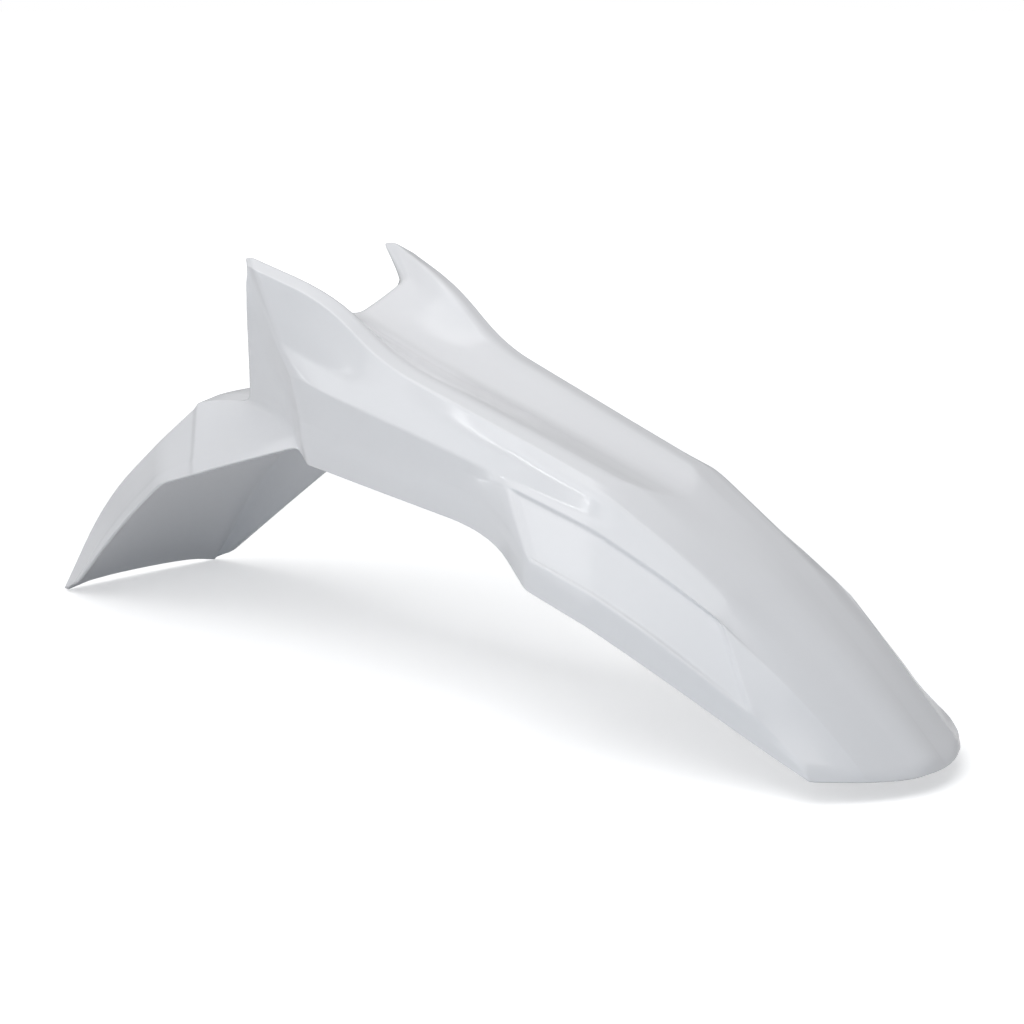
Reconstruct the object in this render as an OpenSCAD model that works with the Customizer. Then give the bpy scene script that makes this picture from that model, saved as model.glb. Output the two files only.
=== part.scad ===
// Motorcycle front mudguard, moulded in one piece.
// Millimetres. X points to the nose, Y to the left, Z away from the clamp.
// The origin is the middle of the four clamp bosses, on their faces.

/* [Nose] */
// How far the nose tip reaches ahead of the clamp
nose_reach = 401; // [380:1:420]
// Half width between the nose corners
nose_half = 75; // [66:1:84]
// How far the nose corners sit behind the tip
nose_sweep = 37; // [28:1:46]
// How far the nose edge hangs below the clamp faces
nose_drop = 73; // [66:1:80]
// Height of the rolled lip round the nose
lip_h = 6.5; // [5:0.5:9]
// Half spacing of the rim creases at the nose
rim_nose_half = 22; // [17:1:27]

/* [Blade] */
// Half width of the blade at its widest
flare_half = 98; // [92:1:104]
// Where along X the blade is widest
flare_x = 205; // [196:1:214]
// Height of the blade's lower edge at its widest
flare_edge_z = -45; // [-50:1:-41]
// Height of the outer strip along the lower edge
strip_h = 21; // [16:0.5:24]
// How far the outer strip leans in
strip_lean = 2.5; // [1:0.5:4]
// Fall of the blade ahead of the kink, per millimetre
blade_fall = 0.19; // [0.16:0.01:0.22]
// Crown of the nose between its creases
nose_crown = 3; // [1:0.5:5]

/* [Side panels] */
// Depth of the recessed panel in each flare
panel_depth = 2.2; // [1.5:0.1:3]
// Front end of the panel
panel_front_x = 298; // [290:1:306]
// Distance of the panel from the crest of the step
panel_rear_gap = 8; // [6:0.5:11]
// Distance of the panel from the crease above it, at its rear
panel_top_gap = 7; // [5:0.5:9]
// The same at its front
panel_front_gap = 1; // [0.8:0.1:2]
// Width of the slope round the panel
panel_slope = 3.2; // [2.5:0.1:4]

/* [Step between blade and forks] */
// Step crest at the upper crease
step_top_x = 73; // [68:1:78]
// Step crest at the outer strip
step_out_x = 129; // [124:1:134]
// Half width of the flare at the step
step_half = 96; // [92:1:100]
// Foot of the step along X
step_foot_x = 72; // [67:1:77]

/* [Fork region] */
// Half width over the upper crease of the side walls
fork_half = 67; // [63:1:70]
// How far the side walls lean out at their lower edge
wall_lean = 2; // [0:0.5:4]
// Height of the upper crease at the blade
crease_front_z = 8; // [5:0.5:11]
// Height of the upper crease at the horns
crease_rear_z = -8; // [-12:0.5:-5]
// Lower edge of the side walls at the step
wall_front_z = -37; // [-40:0.5:-34]
// Lower edge of the side walls at the horns
wall_rear_z = -62; // [-66:1:-58]

/* [Rim creases] */
// Half spacing of the rim creases at the kink
rim_front_half = 48.5; // [46:0.5:51]
// Half spacing of the rim creases behind the forks
rim_rear_half = 60.5; // [58:0.5:63]
// Height of the rim crease at the kink
rim_front_z = 24; // [21:1:27]
// Height of the rim crease behind the forks
rim_rear_z = 32; // [29:1:35]
// Kink between the clamp deck and the blade
kink_x = 144; // [138:1:150]
// Where the rims begin to climb to the horns
climb_x = -66; // [-72:1:-60]
// Width of the chamfer on top of each rim
rim_strip_w = 13.5; // [11:0.5:16]
// Rise of that chamfer
rim_strip_rise = 2; // [1:0.5:4]
// Height of the valley between the rims, on the centre line
valley_z = 22; // [20:0.5:24]
// Where the valley runs out ahead of the kink
valley_end = 26; // [20:1:30]
// Height of its end over the clamp faces
valley_end_z = 20; // [18:0.5:22]

/* [Shoulder] */
// Half spacing of the soft shoulder crease at the kink
shoulder_front_half = 57.5; // [55:0.5:60]
// Height of the shoulder crease at the kink
shoulder_front_z = 21; // [18:0.5:23]
// Half spacing of the shoulder crease behind the forks
shoulder_rear_half = 64.4; // [62:0.2:66]
// Height of the shoulder crease there
shoulder_rear_z = 15; // [12:0.5:17]

/* [Horns] */
// Horn tips behind the clamp
horn_x = -206; // [-214:1:-198]
// Half spacing of the horn tips
horn_half = 72; // [68:1:76]
// Height of the horn tips
horn_z = 62; // [57:0.5:67]
// Where each rim levels out into its horn
horn_base_x = -124; // [-130:1:-118]
// Half spacing of the creases there
horn_base_half = 64; // [61:1:66]
// Height of the crease there
horn_base_z = 55; // [51:1:59]
// Rear edge of the deck between the horns
arc_x = -161; // [-167:1:-155]
// Height of that edge on the centre line
arc_z = 28; // [24:1:32]
// How far the rear edge of the deck rolls down
edge_roll = 3; // [2:0.5:5]
// Rear crease of the horn's side face at the upper crease
horn_foot_x = -144; // [-150:1:-138]
// Rear crease of the side wall at its lower edge
wall_end_x = -112; // [-118:1:-106]

/* [Rear wall] */
// Foot of the rear wall on the centre line
wall_foot_x = -176; // [-182:1:-170]
// Height of that foot
wall_foot_z = -42; // [-48:1:-38]
// Half width of the wall at its foot
wall_foot_half = 50.5; // [47:0.5:54]

/* [Rear flap] */
// Flap shoulder where it leaves the rear wall
flap_start_x = -204; // [-209:1:-199]
// Height of the shoulder there
flap_start_z = -51; // [-56:1:-47]
// End of the raised band on the flap
band_x = -244; // [-249:1:-239]
// Height of the shoulder there
band_z = -68; // [-73:1:-64]
// Height of the raised band
band_h = 4; // [2.5:0.5:6]
// Shoulder at the bend of the flap
bend_x = -269; // [-275:1:-263]
// Height of the shoulder at the bend
bend_z = -104; // [-110:1:-98]
// Half width over the shoulders at the bend
bend_half = 74; // [70:1:78]
// Half width of the flap's lower edge at the bend
flap_edge_half = 96; // [91:1:100]
// Depth of the flap's side wall at the bend
flap_side = 34; // [30:1:38]
// End of the flap
flap_end_x = -360; // [-374:1:-346]
// Height of the end of the flap
flap_end_z = -267; // [-279:1:-255]
// Half width at the end of the flap
flap_end_half = 76; // [70:1:80]
// Depth of the side wall at the end
flap_end_side = 20; // [16:1:24]
// How far the flap bows back between its bend and its end
flap_bow = 11; // [7:1:15]
// Crown of the flap between its shoulders
flap_crown = 6; // [3:1:9]

/* [Shell] */
// Wall thickness
wall = 2.8; // [2.4:0.1:3.2]
// Rounding of the crisp rim crease
rim_r = 1.6; // [1:0.2:2.4]
// Rounding of the upper crease and the strip
crease_r = 2; // [1.2:0.2:3]
// Rounding of the soft shoulder crease and the valley's edges
soft_r = 4.5; // [3:0.5:6]

/* [Clamp bosses] */
// Boss spacing along the mudguard
boss_pitch_x = 60; // [50:1:66]
// Boss spacing across the mudguard
boss_pitch_y = 34; // [28:1:38]
// Outer radius of a boss
boss_r = 7.5; // [6.5:0.5:8.5]
// Flare of a boss where it meets the deck
boss_flare = 1.5; // [0.5:0.5:3]
// Radius of the screw bore
bore_r = 3; // [2.5:0.1:3.3]
// Depth of the screw bore
bore_depth = 10; // [8:0.5:11]

/* [Hidden] */
body_colour = [0.93, 0.94, 0.95];

// Lines of the half section, from the centre out to the lower edge:
// centre, valley 1, valley 2, rim top, rim crease, shoulder, upper crease,
// panel edge, panel top, panel bottom, strip crease, strip fold, lower edge.
LINES = 13;

function lerp(a, b, t) = a + (b - a) * t;
function clamp01(t) = max(0, min(1, t));
function unit(v) = v / max(norm(v), 0.000001);
function ease(t) = let (c = clamp01(t)) c * c * (3 - 2 * c);

// Blade ahead of the kink, as functions of X
flare_len = nose_reach - nose_sweep - flare_x;
function rim_z(x) = let (d = max(0, x - kink_x), full = nose_reach - kink_x)
    rim_front_z - blade_fall * d - (rim_front_z - blade_fall * full + nose_drop - lip_h) * pow(d / full, 2);
function rim_half(x) = lerp(rim_front_half, rim_nose_half, clamp01((x - kink_x) / (nose_reach - kink_x)));
function edge_half(x) = flare_half
    - (flare_half - nose_half) * pow(sin(90 * clamp01((x - flare_x) / flare_len)), 2)
    - (flare_half - step_half) * pow(clamp01((flare_x - x) / (flare_x - step_out_x)), 2);
function edge_z(x) = flare_edge_z
    - (nose_drop + flare_edge_z) * lerp(clamp01((x - flare_x + 6) / (flare_len + 6)),
        ease((x - flare_x + 6) / (flare_len + 6)), 0.8);
function strip_z(x) = lip_h + (strip_h - lip_h)
    * (1 - pow(clamp01((x - flare_x) / flare_len), 2.2));
function strip_in(x) = strip_lean + 0.5 * clamp01((x - flare_x) / flare_len);
function crease_half(x) = lerp(fork_half - 1, 0.63 * nose_half,
    pow(clamp01((x - kink_x - 40) / (nose_reach - kink_x - 70)), 1.3));
function crease_fall(x) = lerp(rim_front_z - crease_front_z, 0.5,
    pow(clamp01((x - kink_x) / (nose_reach - kink_x)), 0.9));

// Half row built from its main lines. k is [valley share 1, share 2, recess, places along, panel gap]
function half_row(c, t, a, b, cr, p, e, k) = let (
    side = p - cr,
    out = unit([0, -side[2], side[1]]),
    g = min(k[5], 0.3 * norm(side)) / norm(side),
    h = min(panel_slope, 0.12 * norm(side)) / norm(side))
    [c,
     [lerp(c[0], t[0], k[3]), 0.45 * t[1], lerp(c[2], t[2], k[0])],
     [lerp(c[0], t[0], k[4]), 0.8 * t[1], lerp(c[2], t[2], k[1])],
     t, a, b, cr,
     cr + side * g,
     cr + side * (g + h) - out * panel_depth * k[2],
     p - side * h - out * panel_depth * k[2],
     p,
     lerp(p, e, 0.42) + [0, 0.8, 0],
     e];

// Blade row whose centre sits at x; lean moves its outer lines forward
function blade_row(x, lean, recess, gap) = let (
    s = nose_sweep * pow(clamp01((x - kink_x) / (nose_reach - kink_x)), 2.2) / (nose_half * nose_half),
    xa = x - s * pow(rim_half(x), 2),
    xc = x - s * pow(crease_half(x), 2) + 0.12 * lean,
    xe = x - s * nose_half * nose_half + lean,
    a = [xa, rim_half(x), rim_z(x)],
    cr = [xc, crease_half(x), rim_z(x) - crease_fall(x)],
    e = [xe, edge_half(xe), edge_z(xe)],
    p = [xe - 3, edge_half(xe) - strip_in(xe), edge_z(xe) + strip_z(xe)],
    near = clamp01((x - kink_x) / 110),
    t = a + [0, -rim_strip_w * lerp(1, 0.6, near), rim_strip_rise * (1 - near) + 0.6 * near],
    end = x > kink_x ? 1 : 0,
    cx = x + valley_end * (1 - clamp01((x - kink_x) / 80)),
    c = [cx, 0, end == 1 ? rim_z(cx) + nose_crown * (0.4 + 0.6 * near) : valley_end_z],
    fade = clamp01((x - kink_x) / (panel_front_x - kink_x)),
    b = [lerp(xa, xc, 0.4), lerp(a[1], cr[1], lerp((shoulder_front_half - rim_front_half) / (crease_half(kink_x)
        - rim_front_half), 0.16, fade)), lerp(a[2], cr[2], lerp((rim_front_z - shoulder_front_z)
        / (rim_front_z - crease_front_z), 0.1, fade))])
    half_row(c, t, a, b, cr, p, e, [0.3, 0.75, recess, 0.2, 0.6, gap]);

// Front of the panel, bowed forward between its corners
function bulged(r) = [for (i = [0 : LINES - 1]) r[i] + [i == 8 ? 5 : i == 9 ? 3 : i == 7 ? 2 : 0, 0, 0]];

// The rolled lip: the row round the very edge of the nose
function lip_row() = [for (p = blade_row(nose_reach - 2, 0, 0, panel_front_gap))
    let (y = min(p[1], nose_half), w = pow(y / nose_half, 2))
        [nose_reach - nose_sweep * w, y, -nose_drop + 2 * nose_crown * (1 - w)]];

// Deck row between the kink and the horns
function fork_row(x, crx, px, ex) = let (
    f = clamp01((x - climb_x) / (kink_x - climb_x)),
    a = [x, lerp(rim_rear_half, rim_front_half, f), lerp(rim_rear_z, rim_front_z, f)],
    t = a + [0, -rim_strip_w, rim_strip_rise],
    u = (crx - horn_foot_x) / (kink_x - horn_foot_x),
    w = (ex - wall_end_x) / (step_foot_x - wall_end_x),
    cr = [crx, fork_half, lerp(crease_rear_z, crease_front_z, u)],
    e = [ex, fork_half + wall_lean, lerp(wall_rear_z, wall_front_z, w)],
    p = [px, fork_half + wall_lean * 0.5, lerp(cr[2], e[2], 0.5)],
    b = [lerp(x, crx, 0.5), lerp(shoulder_rear_half, shoulder_front_half, f), lerp(shoulder_rear_z, shoulder_front_z, f)],
    c = [x, 0, valley_z])
    half_row(c, t, a, b, cr, p, e, [0.42, 0.84, 0, 0.5, 0.9, panel_top_gap]);

// Crest of the step where the blade flares out
function crest_row(gap, recess) = let (
    x = step_top_x + gap,
    f = (x - climb_x) / (kink_x - climb_x),
    a = [x, lerp(rim_rear_half, rim_front_half, f), lerp(rim_rear_z, rim_front_z, f)],
    t = a + [0, -rim_strip_w, rim_strip_rise],
    cr = [x, fork_half, lerp(crease_rear_z, crease_front_z, (x - horn_foot_x) / (kink_x - horn_foot_x))],
    xe = step_out_x + 5 + gap,
    e = [xe, edge_half(xe), edge_z(xe)],
    p = [xe - 5, e[1] - strip_lean * 0.7, e[2] + strip_h],
    b = [x, lerp(shoulder_rear_half, shoulder_front_half, f), lerp(shoulder_rear_z, shoulder_front_z, f)],
    c = [x, 0, valley_z])
    half_row(c, t, a, b, cr, p, e, [0.42, 0.84, recess, 0.5, 0.9, panel_top_gap]);

// Row where each rim levels out into its horn
function climb_row() = let (
    a = [horn_base_x, horn_base_half, horn_base_z],
    t = a + [-2, -rim_strip_w, rim_strip_rise + 2],
    cr = [horn_foot_x + 40, fork_half, lerp(crease_rear_z, crease_front_z, 0.13)],
    e = [wall_end_x + 22, fork_half + wall_lean, lerp(wall_rear_z, wall_front_z, 0.13)],
    p = [(cr[0] + e[0]) / 2, fork_half + wall_lean * 0.5, lerp(cr[2], e[2], 0.5)],
    b = [horn_base_x + 10, fork_half - 2.5, horn_base_z - 46],
    c = [horn_base_x + 12, 0, lerp(valley_z, arc_z, 0.5)])
    half_row(c, t, a, b, cr, p, e, [0.2, 0.6, 0, 0.4, 0.9, panel_top_gap]);

// Rear crease of the horns and the edge of the deck between them
function horn_row() = let (
    a = [horn_x + 6, horn_half + 1.5, horn_z - 5],
    t = [horn_x - 6.5, horn_half - 5.5, horn_z - 3],
    cr = [horn_foot_x, fork_half - 1, crease_rear_z],
    e = [wall_end_x, fork_half + wall_lean, wall_rear_z],
    p = [lerp(cr[0], e[0], 0.5), fork_half - 0.5, lerp(cr[2], e[2], 0.5)],
    b = [lerp(cr[0], a[0], 0.36), fork_half + 0.5, lerp(cr[2], a[2], 0.3)],
    c = [arc_x, 0, arc_z - edge_roll],
    r = half_row(c, t, a, b, cr, p, e, [0.38, 0.8, 0, 0, 0, panel_top_gap]))
    [for (i = [0 : LINES - 1]) i == 1 ? [arc_x - 6, 0.41 * horn_half, lerp(arc_z, horn_z, 0.265) - edge_roll]
        : i == 2 ? [arc_x - 5.5, 0.68 * horn_half, lerp(arc_z, horn_z, 0.63) - edge_roll] : r[i]];

// Top of the rolled rear edge, just ahead of it
function crown_row() = let (
    r = horn_row(),
    a = [horn_x + 17, horn_half + 4, horn_z - 4],
    t = [horn_x + 2, horn_half - 4, horn_z + 0.5])
    [for (i = [0 : LINES - 1]) i == 4 ? a : i == 3 ? t
        : r[i] + [i < 3 ? 5 : 6, 0, i < 3 ? edge_roll : 1]];

// Upper part of the rear wall, where each horn's rear edge stands proud
function fin_row() = let (
    a = [horn_x + 10, horn_half + 4, horn_z - 23],
    t = [horn_x + 28, horn_half - 11, horn_z - 20],
    cr = [horn_foot_x - 7, fork_half - 3.5, crease_rear_z - 14],
    e = [wall_end_x - 9, fork_half, wall_rear_z + 4],
    p = [lerp(cr[0], e[0], 0.5), fork_half - 3, lerp(cr[2], e[2], 0.5)],
    b = [lerp(cr[0], a[0], 0.55), fork_half - 1.5, lerp(cr[2], a[2], 0.34)],
    c = [arc_x - 5, 0, arc_z - 18],
    r = half_row(c, t, a, b, cr, p, e, [0.38, 0.8, 0, 0, 0, panel_top_gap]))
    [for (i = [0 : LINES - 1]) i == 1 ? [arc_x - 8, 0.41 * horn_half, lerp(arc_z, horn_z, 0.265) - 18]
        : i == 2 ? [arc_x - 6, 0.69 * horn_half, lerp(arc_z, horn_z, 0.63) - 17] : r[i]];

// Foot of the rear wall, where the flap begins
function foot_row() = let (
    a = [flap_start_x, wall_foot_half, flap_start_z],
    e = [wall_end_x - 17, fork_half, wall_rear_z + 7],
    cr = [lerp(a[0], e[0], 0.66), wall_foot_half + 9, flap_start_z + 9],
    p = [lerp(a[0], e[0], 0.87), wall_foot_half + 11.5, flap_start_z + 5],
    b = [lerp(a[0], e[0], 0.3), wall_foot_half + 4.5, flap_start_z + 6],
    t = [lerp(flap_start_x, wall_foot_x, 0.22), wall_foot_half * 0.84, lerp(flap_start_z, wall_foot_z, 0.35)],
    c = [wall_foot_x, 0, wall_foot_z])
    half_row(c, t, a, b, cr, p, e, [0.1, 0.5, 0, 0.15, 0.6, panel_top_gap]);

// Flap row: shoulder a, lower edge e, extra height over the shoulders
function flap_row(a, e, lift) = let (
    c = [a[0] - 0.3 * flap_crown, 0, a[2] + 0.9 * flap_crown],
    t = lerp(a, c, 0.14) + [0, 0, 0.2 * flap_crown],
    b = lerp(a, e, 0.16), cr = lerp(a, e, 0.34),
    p = lerp(a, e, 0.7),
    r = half_row([c[0], 0, c[2]], [t[0], 0.86 * a[1], t[2]], a, b, cr, p, e, [0.1, 0.4, 0, 0.1, 0.5, panel_top_gap]),
    n = [-0.75 * lift, 0, 0.66 * lift])
    [for (i = [0 : LINES - 1]) let (s = i < 4 ? 1 : clamp01((LINES - 1 - i) / 8))
        r[i] + n * s + [0, i > 3 && i < LINES - 1 ? 0.4 * lift : 0, 0]];
function flap_at(f) = [lerp(bend_x, flap_end_x, f) - 3.5 * flap_bow * f * (1 - f),
    lerp(bend_half, flap_end_half, f) + 16 * f * (1 - f), lerp(bend_z, flap_end_z, f) + 2 * flap_bow * f * (1 - f)];
function flap_edge_at(f) = [lerp(bend_x, flap_end_x, f) + lerp(0.93 * flap_side, flap_end_side, f),
    lerp(flap_edge_half, flap_end_half + 3, f) + 14 * f * (1 - f),
    lerp(bend_z - 0.56 * flap_side, flap_end_z + 0.75 * flap_end_side, f) + flap_bow * f * (1 - f)];

band_a = [band_x, lerp(wall_foot_half, bend_half, 0.5), band_z];
band_e = [band_x + 38, flap_edge_half - 4.5, lerp(wall_rear_z, bend_z - 0.56 * flap_side, 0.68)];
mid_a = [lerp(flap_start_x, band_x, 0.6), lerp(wall_foot_half, band_a[1], 0.5), lerp(flap_start_z, band_z, 0.45)];
mid_e = [band_x + 60, flap_edge_half - 11, lerp(wall_rear_z, bend_z - 0.56 * flap_side, 0.44)];

half_net = [
    lip_row(),
    blade_row(nose_reach - 4, 0, 0, panel_front_gap),
    blade_row(nose_reach - 45, 9, 0, panel_front_gap),
    blade_row(nose_reach - 86, 32, 0, panel_front_gap),
    bulged(blade_row(panel_front_x - 41, 66, 0, panel_front_gap)),
    bulged(blade_row(panel_front_x - 46, 63, 1, panel_front_gap)),
    blade_row(lerp(kink_x, panel_front_x, 0.45), 32, 1, panel_front_gap),
    blade_row(kink_x + 12, 35, 1, lerp(panel_top_gap, panel_front_gap, 0.2)),
    blade_row(kink_x, 36, 1, panel_top_gap),
    crest_row(panel_rear_gap, 1),
    crest_row(0, 0),
    fork_row(step_top_x - 24, step_top_x - 24, step_foot_x - 8, step_foot_x),
    fork_row(-10, -10, -10, -10),
    fork_row(climb_x, climb_x, climb_x, climb_x),
    climb_row(),
    crown_row(),
    horn_row(),
    fin_row(),
    foot_row(),
    flap_row(mid_a, mid_e, 0.1 * band_h),
    flap_row(band_a, band_e, 0.5 * band_h),
    flap_row(band_a + [-5, 1, -5], band_e + [-5, -0.4, -3], 0),
    flap_row(flap_at(0), flap_edge_at(0), 0),
    flap_row(flap_at(0.45), flap_edge_at(0.45), 0),
    flap_row(flap_at(1), flap_edge_at(1), 0)];
ROWS = len(half_net);

// Full control net, left lower edge to right lower edge
COLS = 2 * LINES - 1;
outer_net = [for (r = half_net) [for (j = [0 : COLS - 1])
    j < LINES ? r[LINES - 1 - j] : let (p = r[j - LINES + 1]) [p[0], -p[1], p[2]]]];

// Inner net: every control point moved in by the wall, square to its faces
function at(n, i, j) = n[max(0, min(ROWS - 1, i))][max(0, min(COLS - 1, j))];
function quad_normal(n, i, j) = let (a = at(n, i, j), b = at(n, i + 1, j), c = at(n, i + 1, j + 1), d = at(n, i, j + 1))
    unit(cross(c - a, d - b));
function vertex_offset(n, i, j) = let (
    q = [for (di = [-1, 0], dj = [-1, 0]) if (i + di >= 0 && i + di < ROWS - 1 && j + dj >= 0 && j + dj < COLS - 1)
        quad_normal(n, i + di, j + dj)],
    m = unit([for (k = [0 : 2]) [for (v = q) v[k]] * [for (v = q) 1]]),
    s = ([for (v = q) v * m] * [for (v = q) 1]) / len(q))
    m / max(s, 0.3);

// Further set-in where the faces of a horn meet at its tip and its rear edge
function horn_core(i, l) = i == 15 && l == 3 ? [10, -2, -4] : i == 15 && l == 4 ? [1, 0, -3]
    : i == 16 && l == 3 ? [12, -4, -7] : i == 16 && l == 4 ? [5, 0, -7]
    : i == 17 && l == 4 ? [9, -3.5, -4] : [0, 0, 0];
inner_net = [for (i = [0 : ROWS - 1]) [for (j = [0 : COLS - 1]) let (h = horn_core(i, abs(j - LINES + 1)))
    outer_net[i][j] - wall * vertex_offset(outer_net, i, j) + [h[0], j < LINES ? h[1] : -h[1], h[2]]]];

// Rounding: each inner control point becomes a short parabola
function arc_at(p, k, reach, t) = let (
    u = p[k - 1] - p[k], v = p[k + 1] - p[k],
    a = u * min(0.4, reach / max(norm(u), 0.001)), b = v * min(0.4, reach / max(norm(v), 0.001)))
    p[k] + a * pow(1 - t, 2) + b * pow(t, 2);
function rounded(p, reach, n) = [for (k = [0 : len(p) - 1]) each
    (k == 0 || k == len(p) - 1) ? [p[k]] : n[k] == 1 ? [arc_at(p, k, reach[k], 0.5)]
    : [for (i = [0 : n[k] - 1]) arc_at(p, k, reach[k], i / (n[k] - 1))]];

// Along the mudguard
row_reach = [for (i = [0 : ROWS - 1]) i == 1 ? 5 : i == 4 || i == 5 || i == 9 ? 3 : i == 7 || i == 8 ? 5 : i == 10 ? 4
    : i == 15 ? 3 : i == 16 ? 2.5 : i == 17 ? 14 : i == 18 ? 8 : i == 20 || i == 21 ? 1.5 : i == 22 ? 10 : 200];
two_rows = [4, 5, 7, 8, 9, 15, 16, 20, 21];
row_n = [for (i = [0 : ROWS - 1]) len(search(i, two_rows)) > 0 ? 2 : 3];
// Across it, from the centre out and mirrored
line_reach = [30, 30, 12, soft_r * 1.8, rim_r, soft_r, crease_r, 1, 1.2, 1.5, crease_r, 4, 0];
line_n = [2, 2, 2, 2, 2, 2, 2, 1, 1, 1, 2, 1, 1];
col_reach = [for (j = [0 : COLS - 1]) line_reach[abs(j - LINES + 1)]];
col_n = [for (j = [0 : COLS - 1]) line_n[abs(j - LINES + 1)]];

// The creases grow soft towards the nose, are crisp on the horns and rounder down the rear edge
row_place = [for (i = [0 : ROWS - 1]) each i == 0 || i == ROWS - 1 ? [i]
    : [for (s = [0 : row_n[i] - 1]) i - 0.5 + s / (row_n[i] - 1)]];
function softer(place) = 1 + 9 * clamp01((4.5 - place) / 3) - 0.45 * clamp01(2 - abs(place - 15))
    + 1.5 * clamp01(2 - 2 * abs(place - 17.5));

function column(n, j) = [for (r = n) r[j]];
function skin(n) = let (
    cols = [for (j = [0 : COLS - 1]) rounded(column(n, j), row_reach, row_n)])
    [for (i = [0 : len(cols[0]) - 1])
        rounded([for (c = cols) c[i]], softer(row_place[i]) * col_reach, col_n)];

outer_skin = skin(outer_net);
inner_skin = skin(inner_net);

module shell() {
    nu = len(outer_skin);
    nv = len(outer_skin[0]);
    half = nu * nv;
    pts = concat([for (r = outer_skin) each r], [for (r = inner_skin) each r]);
    faces = concat(
        [for (i = [0 : nu - 2], j = [0 : nv - 2]) each let (a = i * nv + j, b = a + 1, c = a + nv, d = c + 1)
            [[a, d, c], [a, b, d], [half + a, half + c, half + d], [half + a, half + d, half + b]]],
        [for (i = [0 : nu - 2]) each let (a = i * nv, c = a + nv, e = a + nv - 1, g = e + nv)
            [[a, half + c, half + a], [a, c, half + c], [e, half + g, g], [e, half + e, half + g]]],
        [for (j = [0 : nv - 2]) each let (a = j, c = half - nv + j)
            [[a, half + a + 1, a + 1], [a, half + a, half + a + 1],
             [c, c + 1, half + c + 1], [c, half + c + 1, half + c]]]);
    polyhedron(points = pts, faces = faces, convexity = 12);
}

// Clamp bosses under the deck, each with a blind screw bore
function deck_z(x, y) = let (
    f = (x - climb_x) / (kink_x - climb_x),
    ty = lerp(rim_rear_half, rim_front_half, f) - rim_strip_w,
    tz = lerp(rim_rear_z, rim_front_z, f) + rim_strip_rise)
    valley_z + 0.6 + (tz - valley_z) * max(0, abs(y) - 2) / ty * 0.94;
BOSS_SIDES = 24;

// Flared root of a boss, whose top follows the deck inside its wall
module boss_root(x, y) {
    low = [for (k = [0 : BOSS_SIDES - 1]) let (w = 360 * k / BOSS_SIDES)
        [x + (boss_r - 0.1) * cos(w), y + (boss_r - 0.1) * sin(w), bore_depth + 1]];
    high = [for (k = [0 : BOSS_SIDES - 1]) let (w = 360 * k / BOSS_SIDES,
        px = x + (boss_r + boss_flare) * cos(w), py = y + (boss_r + boss_flare) * sin(w))
        [px, py, deck_z(px, py) - 0.55 * wall]];
    polyhedron(points = concat(low, high, [[x, y, bore_depth + 1], [x, y, deck_z(x, y) - 0.55 * wall]]),
        faces = [for (k = [0 : BOSS_SIDES - 1]) each let (n = (k + 1) % BOSS_SIDES, t = BOSS_SIDES)
            [[k, t + k, t + n], [k, t + n, n], [k, n, 2 * t], [t + n, t + k, 2 * t + 1]]]);
}
module at_bosses() {
    for (sx = [-0.5, 0.5], sy = [-0.5, 0.5])
        translate([sx * boss_pitch_x, sy * boss_pitch_y, 0]) children();
}

module front_mudguard() {
    color(body_colour)
        difference() {
            union() {
                shell();
                at_bosses() cylinder(h = bore_depth + 3, r = boss_r, $fn = 96);
                for (sx = [-0.5, 0.5], sy = [-0.5, 0.5]) boss_root(sx * boss_pitch_x, sy * boss_pitch_y);
            }
            at_bosses() translate([0, 0, -1]) cylinder(h = bore_depth + 1, r = bore_r, $fn = 96);
        }
}

front_mudguard();
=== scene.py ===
import math
import bpy
import numpy as np
from mathutils import Matrix, Vector


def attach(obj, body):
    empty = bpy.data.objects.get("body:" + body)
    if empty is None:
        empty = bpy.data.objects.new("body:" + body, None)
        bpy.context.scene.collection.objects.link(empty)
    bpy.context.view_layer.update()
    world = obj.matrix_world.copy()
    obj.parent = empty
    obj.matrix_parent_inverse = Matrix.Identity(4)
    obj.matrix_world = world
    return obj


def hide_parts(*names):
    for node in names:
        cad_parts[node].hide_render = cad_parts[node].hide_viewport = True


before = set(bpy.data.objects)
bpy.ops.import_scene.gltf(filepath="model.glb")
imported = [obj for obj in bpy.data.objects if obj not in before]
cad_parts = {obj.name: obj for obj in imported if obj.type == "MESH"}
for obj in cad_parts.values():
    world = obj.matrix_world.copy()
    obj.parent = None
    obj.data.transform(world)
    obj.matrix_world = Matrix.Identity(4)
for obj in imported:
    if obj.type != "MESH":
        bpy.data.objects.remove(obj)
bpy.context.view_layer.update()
MM = 0.001

# Camera at the photograph's angle, first of all
EYE = Vector((1.15822, -1.26092, 0.63061))
LOOK = Vector((-0.6201, 0.6899, -0.3735)).normalized()
UP = Vector((-0.3823, 0.1500, 0.9118))
LENS_MM, SENSOR_MM = 93.16, 36.0


def add_camera():
    right = LOOK.cross(UP).normalized()
    up = right.cross(LOOK).normalized()
    data = bpy.data.cameras.new("camera")
    data.lens, data.sensor_width = LENS_MM, SENSOR_MM
    data.clip_start, data.clip_end = 0.05, 60.0
    camera = bpy.data.objects.new("camera", data)
    bpy.context.scene.collection.objects.link(camera)
    camera.matrix_world = Matrix((
        (right.x, up.x, -LOOK.x, EYE.x), (right.y, up.y, -LOOK.y, EYE.y),
        (right.z, up.z, -LOOK.z, EYE.z), (0, 0, 0, 1)))
    bpy.context.scene.camera = camera


add_camera()

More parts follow.
